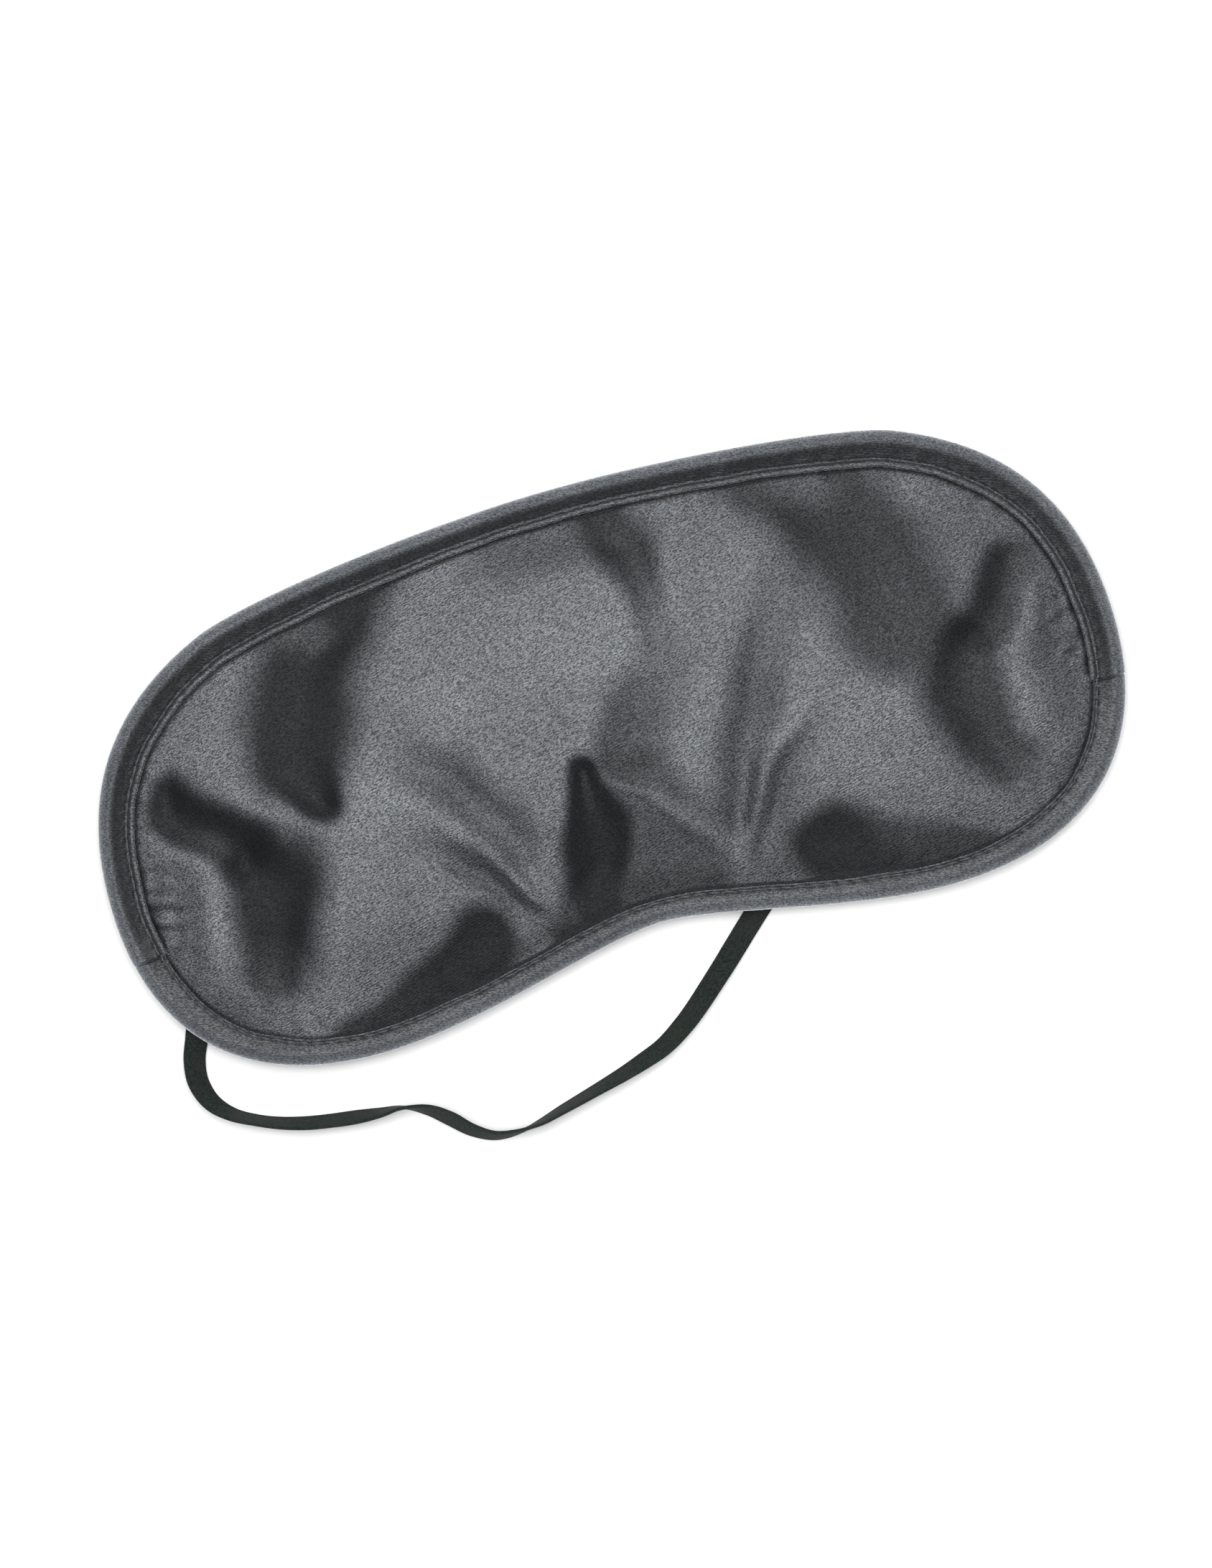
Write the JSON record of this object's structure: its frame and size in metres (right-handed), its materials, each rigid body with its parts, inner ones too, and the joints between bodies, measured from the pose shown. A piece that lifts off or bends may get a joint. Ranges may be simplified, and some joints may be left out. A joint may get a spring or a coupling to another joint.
{
  "type": "sleep eye mask",
  "caption": "Padded satin sleep eye mask with a shaped nose notch, two-piece bound edge and a narrow elastic head strap sewn at both sides.",
  "frame": {"origin": "under the middle of the mask body, on the surface it lies on", "axes": "+X along the mask's width, +Y towards the forehead edge, +Z out of the front face, which lies up"},
  "size_m": [0.2, 0.1171, 0.0077],
  "materials": {
    "satin": "dark grey satin with a soft diagonal weave",
    "binding": "dark grey satin bias strip, rolled and stitched",
    "lining": "matt black brushed lining",
    "foam": "matt wadding",
    "thread": "grey polyester thread",
    "elastic": "near-black ribbed elastic"
  },
  "bodies": {
    "mask": {"front_panel": "satin", "back_panel": "lining", "foam_padding": "foam", "binding_upper": "binding", "binding_lower": "binding", "upper_front_stitching": "thread", "upper_rear_stitching": "thread", "lower_front_stitching": "thread", "lower_rear_stitching": "thread", "strap_tack_left": "thread", "strap_tack_right": "thread"},
    "strap": {"elastic_strap": "elastic"}
  },
  "joints": [
    {"name": "strap_swing", "type": "hinge", "parent": "mask", "child": "strap", "pos_m": [0, -0.0178, 0.0004], "axis": [1, 0, 0], "range_deg": [0, 180]}
  ]
}
